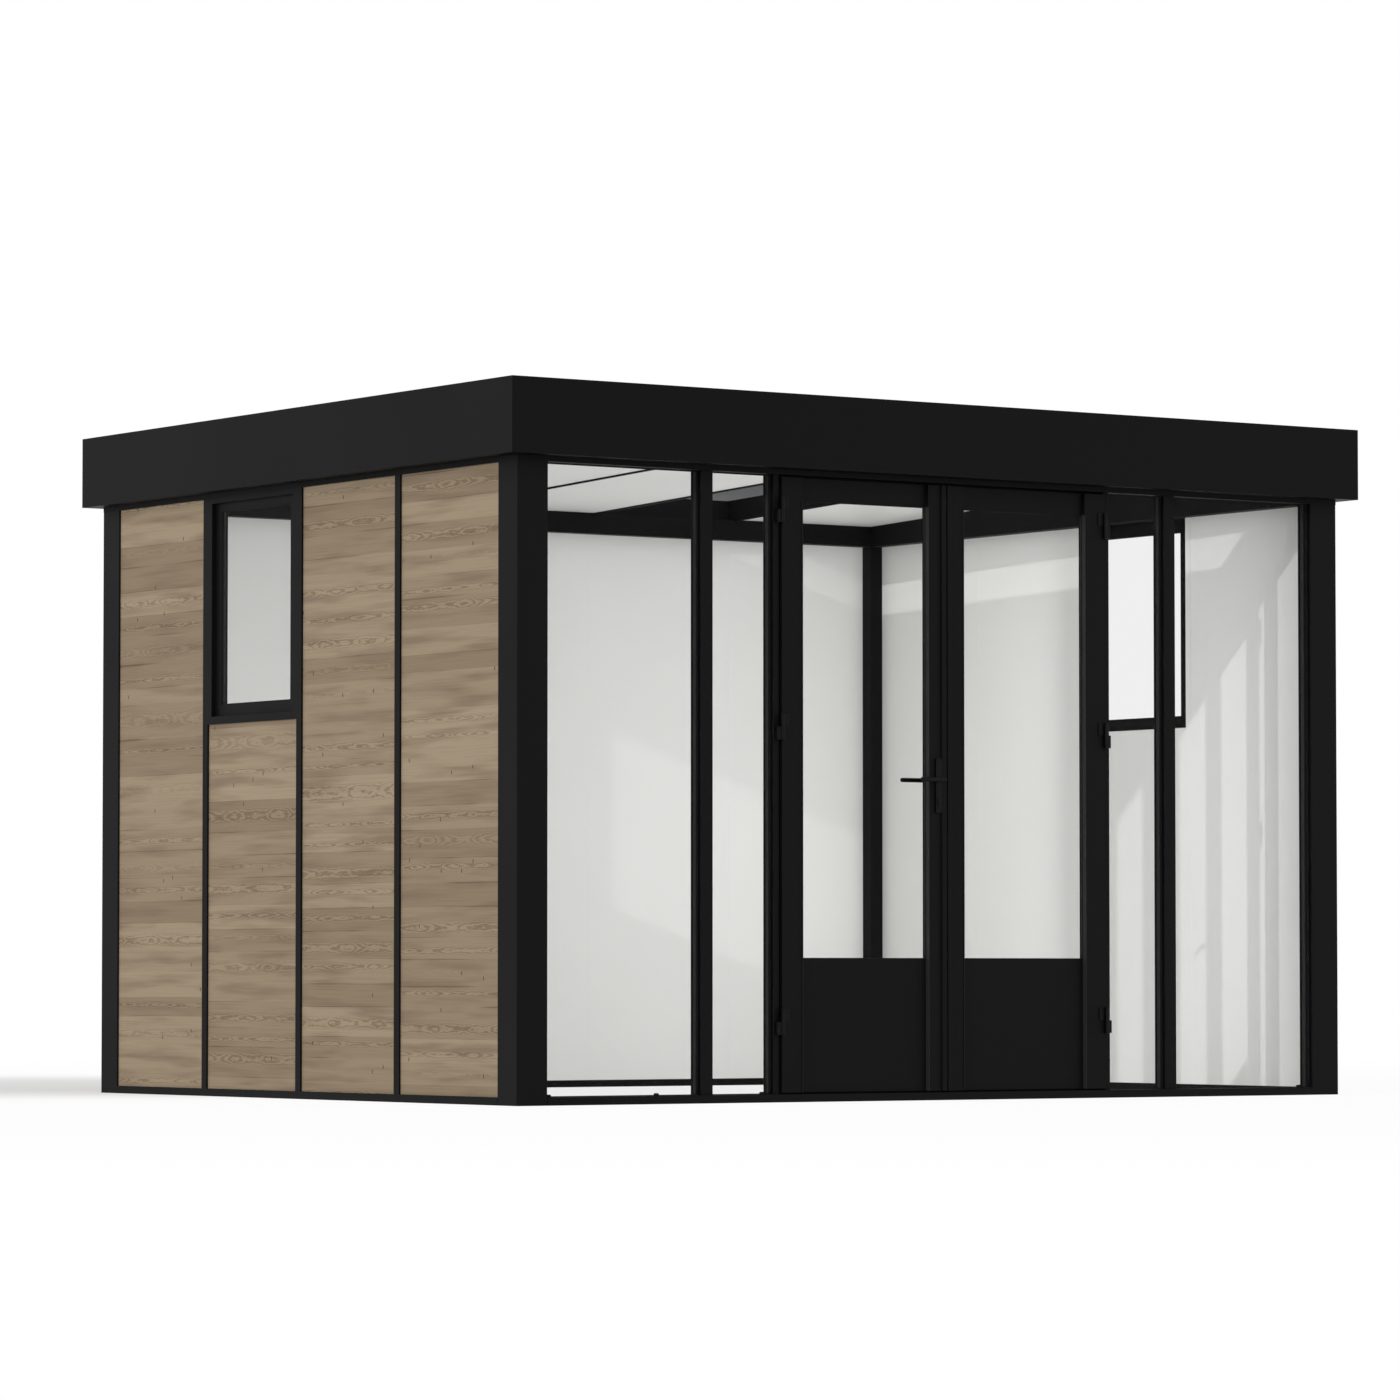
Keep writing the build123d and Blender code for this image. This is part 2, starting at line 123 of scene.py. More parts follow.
def powder_coated_aluminium():
    """Extruded aluminium with a baked black powder coat: matt, finely grained, with soft edges."""
    material, tree = new_material("powder_coated_aluminium")
    place = add(tree, "TexCoord").outputs["Object"]
    # The coat's grain is about 0.4 mm wide, too fine to show, so it is drawn ten times as coarse.
    grain = add(tree, "TexNoise", {"Vector": place, "Scale": 1 / (4 * MM), "Detail": 3.0})
    cloud = add(tree, "TexNoise", {"Vector": place, "Scale": 1 / (450 * MM), "Detail": 2.0})
    blend = add(tree, "Mix", {"Factor": 0.35, "A": cloud, "B": grain})
    colour = add(tree, "Mix", {"Factor": blend, "A": linear("#09090a"), "B": linear("#101011")},
                 data_type="RGBA")
    rough = add(tree, "MapRange", {"Value": blend, "To Min": 0.46, "To Max": 0.66})
    edge = add(tree, "Bevel", {"Radius": 1.5 * MM}, samples=4)
    bump = add(tree, "Bump", {"Height": grain, "Strength": 0.06, "Distance": 0.3 * MM, "Normal": edge})
    shader = add(tree, "BsdfPrincipled", {"Base Color": colour, "Roughness": rough, "Normal": bump,
                                          "Specular IOR Level": 0.09})
    add(tree, "OutputMaterial", {"Surface": shader})
    return material


def wood_print_and_white_enamel():
    """Steel-faced sandwich panel. Outside, a matt printed film of flat-sawn boards lying level, with oval
    figures, straight streaks and small knots; on the room side a plain white baked enamel."""
    material, tree = new_material("wood_print_and_white_enamel")
    place = add(tree, "SeparateXYZ", [add(tree, "TexCoord").outputs["Object"]])
    across_x, across_y, height = place.outputs

    # Each panel has its own stretch of the print: panels are counted along the wall that they stand in,
    # and the counts of the three walls are kept apart
    side_count, back_count = 7.0, 20.5
    print_length, print_height = 9.0, 0.8
    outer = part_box("right_wall_panels")[1].x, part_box("back_wall_panels")[1].y
    half = (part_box("right_wall_panels")[1].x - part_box("right_wall_panels")[0].x) / 2
    side_pitch = solids("left_wall_profiles")[1][0].y - solids("left_wall_profiles")[0][0].y
    back_pitch = solids("back_wall_profiles")[1][0].x - solids("back_wall_profiles")[0][0].x
    rear = add(tree, "Math", [across_y, outer[1] - 2 * half], operation="GREATER_THAN")
    on_side = add(tree, "Math", [add(tree, "Math", [across_y, 1 / side_pitch], operation="MULTIPLY")],
                  operation="FLOOR")
    hand = add(tree, "Math", [across_x], operation="SIGN")
    on_side = add(tree, "Math", [hand, side_count, on_side], operation="MULTIPLY_ADD")
    on_back = add(tree, "Math", [add(tree, "Math", [across_x, 1 / back_pitch, back_count],
                                     operation="MULTIPLY_ADD")], operation="FLOOR")
    number = add(tree, "Mix", {"Factor": rear, "A": on_side, "B": on_back})
    panel = add(tree, "TexWhiteNoise", {"W": number}, noise_dimensions="1D").outputs["Value"]
    run = add(tree, "Math", [add(tree, "Math", [across_x, across_y]),
                             add(tree, "Math", [panel, print_length], operation="MULTIPLY")])
    rise = add(tree, "Math", [panel, print_height, height], operation="MULTIPLY_ADD")

    # Boards about 90 mm high, some higher and some lower, each with its own chance values
    board_height, unevenness, panel_seeds = 90 * MM, 0.6, 57.0
    level = add(tree, "Math", [rise, board_height], operation="DIVIDE")
    uneven = add(tree, "TexNoise", {"W": level, "Scale": 0.7, "Detail": 0.0}, noise_dimensions="1D")
    level = add(tree, "Math", [uneven, unevenness, level], operation="MULTIPLY_ADD")
    board = add(tree, "Math", [level], operation="FLOOR")
    across = add(tree, "Math", [add(tree, "Math", [level], operation="FRACT"), 0.5], operation="SUBTRACT")
    seed = add(tree, "Math", [panel, panel_seeds, board], operation="MULTIPLY_ADD")
    chance = add(tree, "SeparateColor", [add(tree, "TexWhiteNoise", {"W": seed},
                                             noise_dimensions="1D").outputs["Color"]])
    tone, shift, figured = chance.outputs

    # Figure of a flat-sawn board: level lines of a shallow ridge, ovals about 230 by 40 mm
    seed_step, bowl_depth, ridge_height, raggedness, ring_rate = 3.7, 16.0, 2.2, 0.4, 18.0
    along = add(tree, "Math", [run, 1 / (230 * MM)], operation="MULTIPLY")
    strip = add(tree, "Math", [seed, seed_step], operation="MULTIPLY")
    ridge_place = add(tree, "CombineXYZ", [along, strip])
    ridge = add(tree, "TexNoise", {"Vector": ridge_place, "Scale": 1.0, "Detail": 1.5, "Roughness": 0.4},
                noise_dimensions="2D")
    middle = add(tree, "MapRange", {"Value": shift, "To Min": -0.16, "To Max": 0.16})
    offset = add(tree, "Math", [across, middle], operation="SUBTRACT")
    bowl = add(tree, "Math", [add(tree, "Math", [offset, offset], operation="MULTIPLY"), bowl_depth],
               operation="MULTIPLY")
    depth = add(tree, "Math", [ridge, ridge_height, bowl], operation="MULTIPLY_ADD")
    ragged_place = add(tree, "CombineXYZ", [add(tree, "Math", [run, 1 / (38 * MM)], operation="MULTIPLY"),
                                            add(tree, "Math", [rise, 1 / (11 * MM)], operation="MULTIPLY")])
    ragged = add(tree, "TexNoise", {"Vector": ragged_place, "Scale": 1.0, "Detail": 2.0},
                 noise_dimensions="2D")
    depth = add(tree, "Math", [ragged, raggedness, depth], operation="MULTIPLY_ADD")
    rings = add(tree, "Math", [depth, ring_rate], operation="MULTIPLY")
    rings = add(tree, "Math", [rings], operation="SINE")
    near = add(tree, "MapRange", {"Value": add(tree, "Math", [offset], operation="ABSOLUTE"),
                                  "From Min": 0.1, "From Max": 0.26, "To Min": 1.0, "To Max": 0.0},
               interpolation_type="SMOOTHSTEP")
    shown = add(tree, "MapRange", {"Value": figured, "From Min": 0.25, "From Max": 0.45})
    figure = add(tree, "Math", [near, shown], operation="MULTIPLY")
    crest = add(tree, "MapRange", {"Value": rings, "From Min": 0.1, "From Max": 0.9})
    trough = add(tree, "MapRange", {"Value": rings, "From Min": -0.2, "From Max": -1.0})
    dark_ring = add(tree, "Math", [crest, figure], operation="MULTIPLY")
    pale_ring = add(tree, "Math", [trough, figure], operation="MULTIPLY")

    # Straight grain about 4 mm apart and soft bands about 45 mm high, both long in the board's direction
    fine_place = add(tree, "CombineXYZ", [add(tree, "Math", [run, 1 / (400 * MM)], operation="MULTIPLY"),
                                          add(tree, "Math", [rise, 1 / (4 * MM)], operation="MULTIPLY")])
    fine = add(tree, "TexNoise", {"Vector": fine_place, "Scale": 1.0, "Detail": 2.0}, noise_dimensions="2D")
    band_place = add(tree, "CombineXYZ", [add(tree, "Math", [run, 1 / (500 * MM)], operation="MULTIPLY"),
                                          add(tree, "Math", [rise, 1 / (45 * MM)], operation="MULTIPLY")])
    band = add(tree, "TexNoise", {"Vector": band_place, "Scale": 1.0, "Detail": 2.0}, noise_dimensions="2D")

    # Thin dark joints on some boards, and a few small upright knots
    knot_limit = 0.9
    joint = add(tree, "MapRange", {"Value": add(tree, "Math", [across], operation="ABSOLUTE"),
                                   "From Min": 0.465, "From Max": 0.495})
    joint = add(tree, "Math", [joint, add(tree, "MapRange", {"Value": tone, "From Min": 0.35,
                                                             "From Max": 0.6})], operation="MULTIPLY")
    joint = add(tree, "Math", [joint, add(tree, "MapRange", {"Value": band, "From Min": 0.4,
                                                             "From Max": 0.62})], operation="MULTIPLY")
    knot_place = add(tree, "CombineXYZ", [add(tree, "Math", [run, 1 / (70 * MM)], operation="MULTIPLY"),
                                          add(tree, "Math", [rise, 1 / (160 * MM)], operation="MULTIPLY")])
    knots = add(tree, "TexVoronoi", {"Vector": knot_place, "Scale": 1.0}, voronoi_dimensions="2D")
    knot = add(tree, "MapRange", {"Value": knots.outputs["Distance"], "From Min": 0.035, "From Max": 0.06,
                                  "To Min": 1.0, "To Max": 0.0})
    few = add(tree, "Math", [add(tree, "SeparateColor", [knots.outputs["Color"]]), knot_limit],
              operation="GREATER_THAN")
    knot = add(tree, "Math", [knot, few], operation="MULTIPLY")

    colour = add(tree, "Mix", {"Factor": tone, "A": linear("#a8967d"), "B": linear("#8f7d66")},
                 data_type="RGBA")
    streaks = add(tree, "MapRange", {"Value": band, "From Min": 0.45, "From Max": 0.75, "To Max": 0.7})
    lines = add(tree, "MapRange", {"Value": fine, "From Min": 0.5, "From Max": 0.8, "To Max": 0.3})
    layers = [
        (streaks, "#7d6a56"),
        (lines, "#78664f"),
        (add(tree, "Math", [pale_ring, 0.4], operation="MULTIPLY"), "#ad9b80"),
        (add(tree, "Math", [dark_ring, 0.52], operation="MULTIPLY"), "#6e5b46"),
        (add(tree, "Math", [joint, 0.75], operation="MULTIPLY"), "#594938"),
        (add(tree, "Math", [knot, 0.8], operation="MULTIPLY"), "#4b3c2c"),
    ]
    for share, code in layers:
        colour = add(tree, "Mix", {"Factor": share, "A": colour, "B": linear(code)}, data_type="RGBA")

    # The print is outside of the panel's mid plane, the enamel inside
    side = add(tree, "Math", [add(tree, "Math", [across_x], operation="ABSOLUTE"), outer[0] - half],
               operation="SUBTRACT")
    behind = add(tree, "Math", [across_y, outer[1] - half], operation="SUBTRACT")
    outside = add(tree, "Math", [add(tree, "Math", [side, behind], operation="MAXIMUM"), 0.0],
                  operation="GREATER_THAN")
    haze = add(tree, "TexNoise", {"Vector": add(tree, "TexCoord").outputs["Object"],
                                  "Scale": 1 / (600 * MM), "Detail": 2.0})
    enamel = add(tree, "Mix", {"Factor": haze, "A": linear("#ececea"), "B": linear("#f2f2f0")},
                 data_type="RGBA")
    colour = add(tree, "Mix", {"Factor": outside, "A": enamel, "B": colour}, data_type="RGBA")
    print_rough = add(tree, "MapRange", {"Value": fine, "To Min": 0.6, "To Max": 0.8})
    rough = add(tree, "Mix", {"Factor": outside, "A": 0.45, "B": print_rough})
    relief = add(tree, "Math", [add(tree, "Math", [dark_ring, fine]), outside], operation="MULTIPLY")
    bump = add(tree, "Bump", {"Height": relief, "Strength": 0.25, "Distance": 0.4 * MM}, invert=True)
    shader = add(tree, "BsdfPrincipled", {"Base Color": colour, "Roughness": rough, "Normal": bump,
                                          "Specular IOR Level": 0.25})
    add(tree, "OutputMaterial", {"Surface": shader})
    return material


def float_glass():
    """Float glass in sealed double units: clear, faintly grey, with a thin even reflection."""
    material, tree = new_material("float_glass")
    place = add(tree, "TexCoord").outputs["Object"]
    # Toughened panes are very slightly wavy over about 300 mm.
    wave = add(tree, "TexNoise", {"Vector": place, "Scale": 1 / (300 * MM), "Detail": 1.0})
    bump = add(tree, "Bump", {"Height": wave, "Strength": 0.02, "Distance": 0.5 * MM})
    clear = add(tree, "BsdfTransparent", {"Color": linear("#fbfbfb")})
    mirror = add(tree, "BsdfGlossy", {"Color": linear("#f4f8f7"), "Roughness": 0.02, "Normal": bump})
    # Only the face that a ray meets first reflects, so that low light still passes through both faces
    inside = add(tree, "NewGeometry").outputs["Backfacing"]
    first = add(tree, "Math", [1.0, inside], operation="SUBTRACT")
    share = add(tree, "Math", [add(tree, "Fresnel", {"IOR": 1.08, "Normal": bump}), first],
                operation="MULTIPLY")
    shader = add(tree, "MixShader", [share, clear, mirror])
    add(tree, "OutputMaterial", {"Surface": shader})
    return material


def white_coated_steel():
    """Roof panel skins of coil-coated steel: white, even, softly glossy, a little uneven in the sheet."""
    material, tree = new_material("white_coated_steel")
    place = add(tree, "TexCoord").outputs["Object"]
    haze = add(tree, "TexNoise", {"Vector": place, "Scale": 1 / (500 * MM), "Detail": 3.0})
    colour = add(tree, "Mix", {"Factor": haze, "A": linear("#eeeeec"), "B": linear("#f5f5f3")},
                 data_type="RGBA")
    bump = add(tree, "Bump", {"Height": haze, "Strength": 0.1, "Distance": 2 * MM})
    shader = add(tree, "BsdfPrincipled", {"Base Color": colour, "Roughness": 0.4, "Normal": bump})
    add(tree, "OutputMaterial", {"Surface": shader})
    return material


def mill_finish_aluminium():
    """Folded aluminium sheet as it leaves the mill: grey metal with fine rolling lines along its length."""
    material, tree = new_material("mill_finish_aluminium")
    place = add(tree, "TexCoord").outputs["Object"]
    # Rolling lines are under 0.1 mm apart, so they are drawn 2 mm apart to show.
    lines = add(tree, "Mapping", {"Vector": place, "Scale": (1 / (400 * MM), 1 / (2 * MM), 1 / (2 * MM))})
    roll = add(tree, "TexNoise", {"Vector": lines, "Scale": 1.0, "Detail": 2.0})
    rough = add(tree, "MapRange", {"Value": roll, "To Min": 0.3, "To Max": 0.5})
    colour = add(tree, "Mix", {"Factor": roll, "A": linear("#a9abad"), "B": linear("#bfc1c2")},
                 data_type="RGBA")
    shader = add(tree, "BsdfPrincipled", {"Base Color": colour, "Roughness": rough, "Metallic": 1.0})
    add(tree, "OutputMaterial", {"Surface": shader})
    return material


def satin_black_zinc():
    """Die-cast zinc fittings, sprayed satin black: smooth, a soft shine on rounded edges."""
    material, tree = new_material("satin_black_zinc")
    place = add(tree, "TexCoord").outputs["Object"]
    spray = add(tree, "TexNoise", {"Vector": place, "Scale": 1 / (6 * MM), "Detail": 2.0})
    rough = add(tree, "MapRange", {"Value": spray, "To Min": 0.38, "To Max": 0.5})
    colour = add(tree, "Mix", {"Factor": spray, "A": linear("#070708"), "B": linear("#0c0c0d")},
                 data_type="RGBA")
    edge = add(tree, "Bevel", {"Radius": 1.0 * MM}, samples=4)
    shader = add(tree, "BsdfPrincipled", {"Base Color": colour, "Roughness": rough, "Normal": edge,
                                          "Specular IOR Level": 0.12})
    add(tree, "OutputMaterial", {"Surface": shader})
    return material


def coil_coated_sheet():
    """Fascia sheet, coated before it is folded: matt black outside, plain grey on the faces inside the
    fascia.
    """
    material, tree = new_material("coil_coated_sheet")
    place = add(tree, "TexCoord").outputs["Object"]
    x, y, z = add(tree, "SeparateXYZ", [place]).outputs
    high = cad_box[1]
    skin = 3 * MM
    joint_distance, joint_half = 124 * MM, 1.5 * MM
    within = [add(tree, "Math", [add(tree, "Math", [x], operation="ABSOLUTE"), high[0] - skin],
                  operation="LESS_THAN"),
              add(tree, "Math", [add(tree, "Math", [y], operation="ABSOLUTE"), high[1] - skin],
                  operation="LESS_THAN"),
              add(tree, "Math", [z, high[2] - skin], operation="LESS_THAN"),
              add(tree, "Math", [z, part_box("front_fascia")[0].z + skin], operation="GREATER_THAN")]
    back = within[0]
    for test in within[1:]:
        back = add(tree, "Math", [back, test], operation="MULTIPLY")
    # The coat's grain is about 0.4 mm wide, too fine to show, so it is drawn ten times as coarse.
    grain = add(tree, "TexNoise", {"Vector": place, "Scale": 1 / (4 * MM), "Detail": 3.0})
    cloud = add(tree, "TexNoise", {"Vector": place, "Scale": 1 / (600 * MM), "Detail": 2.0})
    blend = add(tree, "Mix", {"Factor": 0.3, "A": cloud, "B": grain})
    black = add(tree, "Mix", {"Factor": blend, "A": linear("#09090a"), "B": linear("#101011")},
                data_type="RGBA")
    grey = add(tree, "Mix", {"Factor": blend, "A": linear("#b9bbbc"), "B": linear("#c6c8c9")},
               data_type="RGBA")
    colour = add(tree, "Mix", {"Factor": back, "A": black, "B": grey}, data_type="RGBA")
    # The side sheets meet the folded corner of the back sheet in a 3 mm butt joint.
    joint = add(tree, "Math", [y, high[1] - joint_distance, joint_half], operation="COMPARE")
    colour = add(tree, "Mix", {"Factor": joint, "A": colour, "B": linear("#030303")}, data_type="RGBA")
    rough = add(tree, "MapRange", {"Value": blend, "To Min": 0.46, "To Max": 0.62})
    edge = add(tree, "Bevel", {"Radius": 1.5 * MM}, samples=4)
    bump = add(tree, "Bump", {"Height": grain, "Strength": 0.05, "Distance": 0.3 * MM, "Normal": edge})
    shader = add(tree, "BsdfPrincipled", {"Base Color": colour, "Roughness": rough, "Normal": bump,
                                          "Specular IOR Level": 0.08})
    add(tree, "OutputMaterial", {"Surface": shader})
    return material


def extruded_grey_plastic():
    """Plastic of spacer bars and glazing beads, as it leaves the die: dark grey, dull, faintly mottled."""
    material, tree = new_material("extruded_grey_plastic")
    place = add(tree, "TexCoord").outputs["Object"]
    # The mottle is about 0.2 mm wide, too fine to show, so it is drawn ten times as coarse.
    mottle = add(tree, "TexNoise", {"Vector": place, "Scale": 1 / (2 * MM), "Detail": 2.0})
    colour = add(tree, "Mix", {"Factor": mottle, "A": linear("#242424"), "B": linear("#2e2e2f")},
                 data_type="RGBA")
    rough = add(tree, "MapRange", {"Value": mottle, "To Min": 0.6, "To Max": 0.8})
    shader = add(tree, "BsdfPrincipled", {"Base Color": colour, "Roughness": rough,
                                          "Specular IOR Level": 0.2})
    add(tree, "OutputMaterial", {"Surface": shader})
    return material


def extruded_rubber():
    """Extruded rubber of gaskets and studs: dull black, faintly mottled, with hardly any shine."""
    material, tree = new_material("extruded_rubber")
    place = add(tree, "TexCoord").outputs["Object"]
    dull = add(tree, "TexNoise", {"Vector": place, "Scale": 1 / (8 * MM), "Detail": 3.0})
    rough = add(tree, "MapRange", {"Value": dull, "To Min": 0.75, "To Max": 0.92})
    colour = add(tree, "Mix", {"Factor": dull, "A": linear("#0c0c0c"), "B": linear("#121212")},
                 data_type="RGBA")
    shader = add(tree, "BsdfPrincipled", {"Base Color": colour, "Roughness": rough,
                                          "Specular IOR Level": 0.2})
    add(tree, "OutputMaterial", {"Surface": shader})
    return material


COAT = powder_coated_aluminium()
PANEL = wood_print_and_white_enamel()
GLASS = float_glass()
ROOF = white_coated_steel()
GUTTER = mill_finish_aluminium()
FITTING = satin_black_zinc()
RUBBER = extruded_rubber()
SHEET = coil_coated_sheet()
PLASTIC = extruded_grey_plastic()

by_slot = {"black_aluminium": COAT, "wood_look_panel": PANEL, "clear_glass": GLASS, "roof_panel": ROOF,
           "gutter_sheet": GUTTER, "black_fittings": FITTING}
for subpart in frame["record"]["subparts"]:
    node_name = subpart["node"]
    look = SHEET if node_name.endswith("fascia") else by_slot[subpart["material_slot"]]
    for material_slot in frame["nodes"][node_name].material_slots:
        material_slot.material = look


# Mesh helpers

def piece(name, mesh, body, material, smooth=False):
    """Turns a finished mesh into an object that rides on a body."""
    bmesh.ops.recalc_face_normals(mesh, faces=mesh.faces)
    data = bpy.data.meshes.new(name)
    mesh.to_mesh(data)
    mesh.free()
    data.materials.append(material)
    data.shade_smooth() if smooth else data.shade_flat()
    made = bpy.data.objects.new(name, data)
    bpy.context.scene.collection.objects.link(made)
    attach(made, body)


def sweep(mesh, low, high, outline, place):
    """Sweeps a closed outline round a rectangle with mitred corners; a point is an inset and a height."""
    corners = [(low[0], 1, low[1], 1), (high[0], -1, low[1], 1), (high[0], -1, high[1], -1),
               (low[0], 1, high[1], -1)]
    loops = [[mesh.verts.new(place(u + du * inset, v + dv * inset, up)) for inset, up in outline]
             for u, du, v, dv in corners]
    for here, there in zip(loops, loops[1:] + loops[:1]):
        for i in range(len(outline)):
            mesh.faces.new((here[i - 1], here[i], there[i], there[i - 1]))


def prism(mesh, outline, place, ends):
    """A bar with a closed outline of two values, between two ends along the third one."""
    near, far = [[mesh.verts.new(place(u, v, end)) for u, v in outline] for end in ends]
    for i in range(len(outline)):
        mesh.faces.new((near[i - 1], near[i], far[i], far[i - 1]))
    mesh.faces.new(near)
    mesh.faces.new(far)


def turn(mesh, outline, centre, axis, steps=20):
    """Turns an outline of radius and height about an axis; it begins and ends on the axis, or is closed."""
    tilt = Vector((0, 0, 1)).rotation_difference(Vector(axis))
    place = Matrix.Translation(centre) @ tilt.to_matrix().to_4x4()
    rings = []
    for radius, up in outline:
        if rings and (radius, up) == outline[0]:
            rings.append(rings[0])
            continue
        angles = [2 * math.pi * i / steps for i in range(steps if radius else 1)]
        rings.append([mesh.verts.new(place @ Vector((radius * math.cos(a), radius * math.sin(a), up)))
                      for a in angles])
    for low, high in zip(rings, rings[1:]):
        for i in range(steps):
            j = (i + 1) % steps
            corners = [low[i % len(low)], low[j % len(low)], high[j % len(high)], high[i % len(high)]]
            mesh.faces.new(list(dict.fromkeys(corners)))


# Glazing gaskets: a rubber lip round each pane, on both faces

GASKET = [(0, 0), (0, 4 * MM), (1 * MM, 4.4 * MM), (2.4 * MM, 2.6 * MM), (3 * MM, 0.6 * MM), (3 * MM, 0)]


def gaskets(name, boxes, axis, body):
    """Gaskets on both faces of panes, given as the clear opening in front of each pane's two faces."""
    mesh = bmesh.new()
    for low, high in boxes:
        for face, out in ((low[axis], -1), (high[axis], 1)):
            if axis == 1:
                place = lambda u, v, up: (u, face + out * up, v)
            else:
                place = lambda u, v, up: (face + out * up, u, v)
            other = 1 - axis
            sweep(mesh, (low[other], low.z), (high[other], high.z), GASKET, place)
    piece(name, mesh, body, RUBBER)


def spacers(name, boxes, axis, body):
    """Dark spacer bars of double glazing, just inside the edge of the clear glass."""
    mesh = bmesh.new()
    skin, hidden, shown = 1.5 * MM, -4 * MM, 0.8 * MM
    for low, high in boxes:
        depth = high[axis] - low[axis] - skin
        outline = [(hidden, skin), (shown, skin), (shown, depth), (hidden, depth)]
        if axis == 1:
            place = lambda u, v, up: (u, low.y + up, v)
        else:
            place = lambda u, v, up: (low.x + up, u, v)
        other = 1 - axis
        sweep(mesh, (low[other], low.z), (high[other], high.z), outline, place)
    piece(name, mesh, body, PLASTIC)


def glazing_beads(leaf, pane):
    """Thin beads on the stiles, beside the glass and the kick panel, ending just behind the leaf's face."""
    mesh = bmesh.new()
    low, high = pane
    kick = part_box(f"{leaf}_kick_panel")[0]
    thick, chamfer, setback = 1.2 * MM, 0.8 * MM, 3 * MM
    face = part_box(f"{leaf}_stiles")[0].y + setback
    for edge, inward in ((low.x, 1), (high.x, -1)):
        outline = [(edge, kick.y), (edge, face), (edge + inward * (thick - chamfer), face),
                   (edge + inward * thick, face + chamfer), (edge + inward * thick, kick.y)]
        prism(mesh, outline, lambda x, y, z: (x, y, z), (kick.z, high.z))
    piece(f"{leaf}_glazing_beads", mesh, leaf, PLASTIC)


def clear_of_frame(box, low_tuck, high_tuck):
    """A pane's box without the edges that are tucked into the frame."""
    return box[0] + Vector(low_tuck), box[1] - Vector(high_tuck)


PANE_TUCK = 9.5 * MM
LEAF_TUCK = 7.5 * MM
WINDOW_TUCK = 7 * MM
HEAD_TUCK = 4.9 * MM

panes = [clear_of_frame(box, (PANE_TUCK, 0, 0), (PANE_TUCK, 0, 0)) for box in solids("front_panes")]
gaskets("front_pane_gaskets", panes, 1, "building")
spacers("front_pane_spacers", panes, 1, "building")
for leaf in ("left_door", "right_door"):
    panes = [clear_of_frame(box, (LEAF_TUCK, 0, 0), (LEAF_TUCK, 0, 0)) for box in solids(f"{leaf}_glass")]
    gaskets(f"{leaf}_gaskets", panes, 1, leaf)
    spacers(f"{leaf}_glass_spacers", panes, 1, leaf)
    glazing_beads(leaf, panes[0])
for side in ("left", "right"):
    panes = [clear_of_frame(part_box(f"{side}_window_glass"), (0, WINDOW_TUCK, WINDOW_TUCK),
                            (0, WINDOW_TUCK, HEAD_TUCK))]
    gaskets(f"{side}_window_gaskets", panes, 0, "building")
    spacers(f"{side}_window_spacers", panes, 0, "building")


# White liners at both sides of each window, and a thin board on the sill, seen from the room

def window_liners(side):
    """Liner boards from the window frame to the room face of the wall, chamfered on the room side."""
    frame_low, frame_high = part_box(f"{side}_window_frame")
    wall_low, wall_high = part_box(f"{side}_wall_panels")
    if side == "left":
        back_x, room_x, out = frame_high.x, wall_high.x, 1
    else:
        back_x, room_x, out = frame_low.x, wall_low.x, -1
    chamfer, board, sill_board, flange = 2 * MM, 32 * MM, 4 * MM, 23 * MM
    sill = frame_low.z + flange
    mesh = bmesh.new()
    for edge, inward in ((frame_low.y, 1), (frame_high.y, -1)):
        outline = [(back_x, edge), (room_x, edge), (room_x, edge + inward * (board - chamfer)),
                   (room_x - out * chamfer, edge + inward * board), (back_x, edge + inward * board)]
        prism(mesh, outline, lambda x, y, z: (x, y, z), (sill, frame_high.z))
    outline = [(back_x, sill), (room_x, sill), (room_x, sill + sill_board - chamfer),
               (room_x - out * chamfer, sill + sill_board), (back_x, sill + sill_board)]
    prism(mesh, outline, lambda x, z, y: (x, y, z), (frame_low.y + board, frame_high.y - board))
    piece(f"{side}_window_liners", mesh, "building", PANEL)


window_liners("left")
window_liners("right")


# White sealant in the wall joints, on the room side

def joint_sealant():
    """A narrow bead with a rounded face in each joint between two wall panels."""
    mesh = bmesh.new()
    half, proud, deep, frame_reach = 0.9 * MM, 0.4 * MM, 4 * MM, 20 * MM
    section = [(-half, -deep), (-half, 0), (-half / 2, proud), (half / 2, proud), (half, 0), (half, -deep)]
    back_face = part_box("back_wall_panels")[0].y
    side_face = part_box("right_wall_panels")[0].x
    for low, high in solids("back_wall_profiles"):
        middle = (low.x + high.x) / 2
        prism(mesh, section, lambda u, v, z: (middle + u, back_face - v, z), (low.z, high.z))
    for side, name in ((-1, "left"), (1, "right")):
        frame_low, frame_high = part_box(f"{name}_window_frame")
        for low, high in solids(f"{name}_wall_profiles"):
            middle = (low.y + high.y) / 2
            beside = frame_low.y - frame_reach < middle < frame_high.y + frame_reach
            prism(mesh, section, lambda u, v, z: (side * (side_face - v), middle + u, z),
                  (low.z, frame_low.z if beside else high.z))
    piece("wall_joint_sealant", mesh, "building", PANEL)


joint_sealant()


# Dark cover strips under the joints of the roof panels

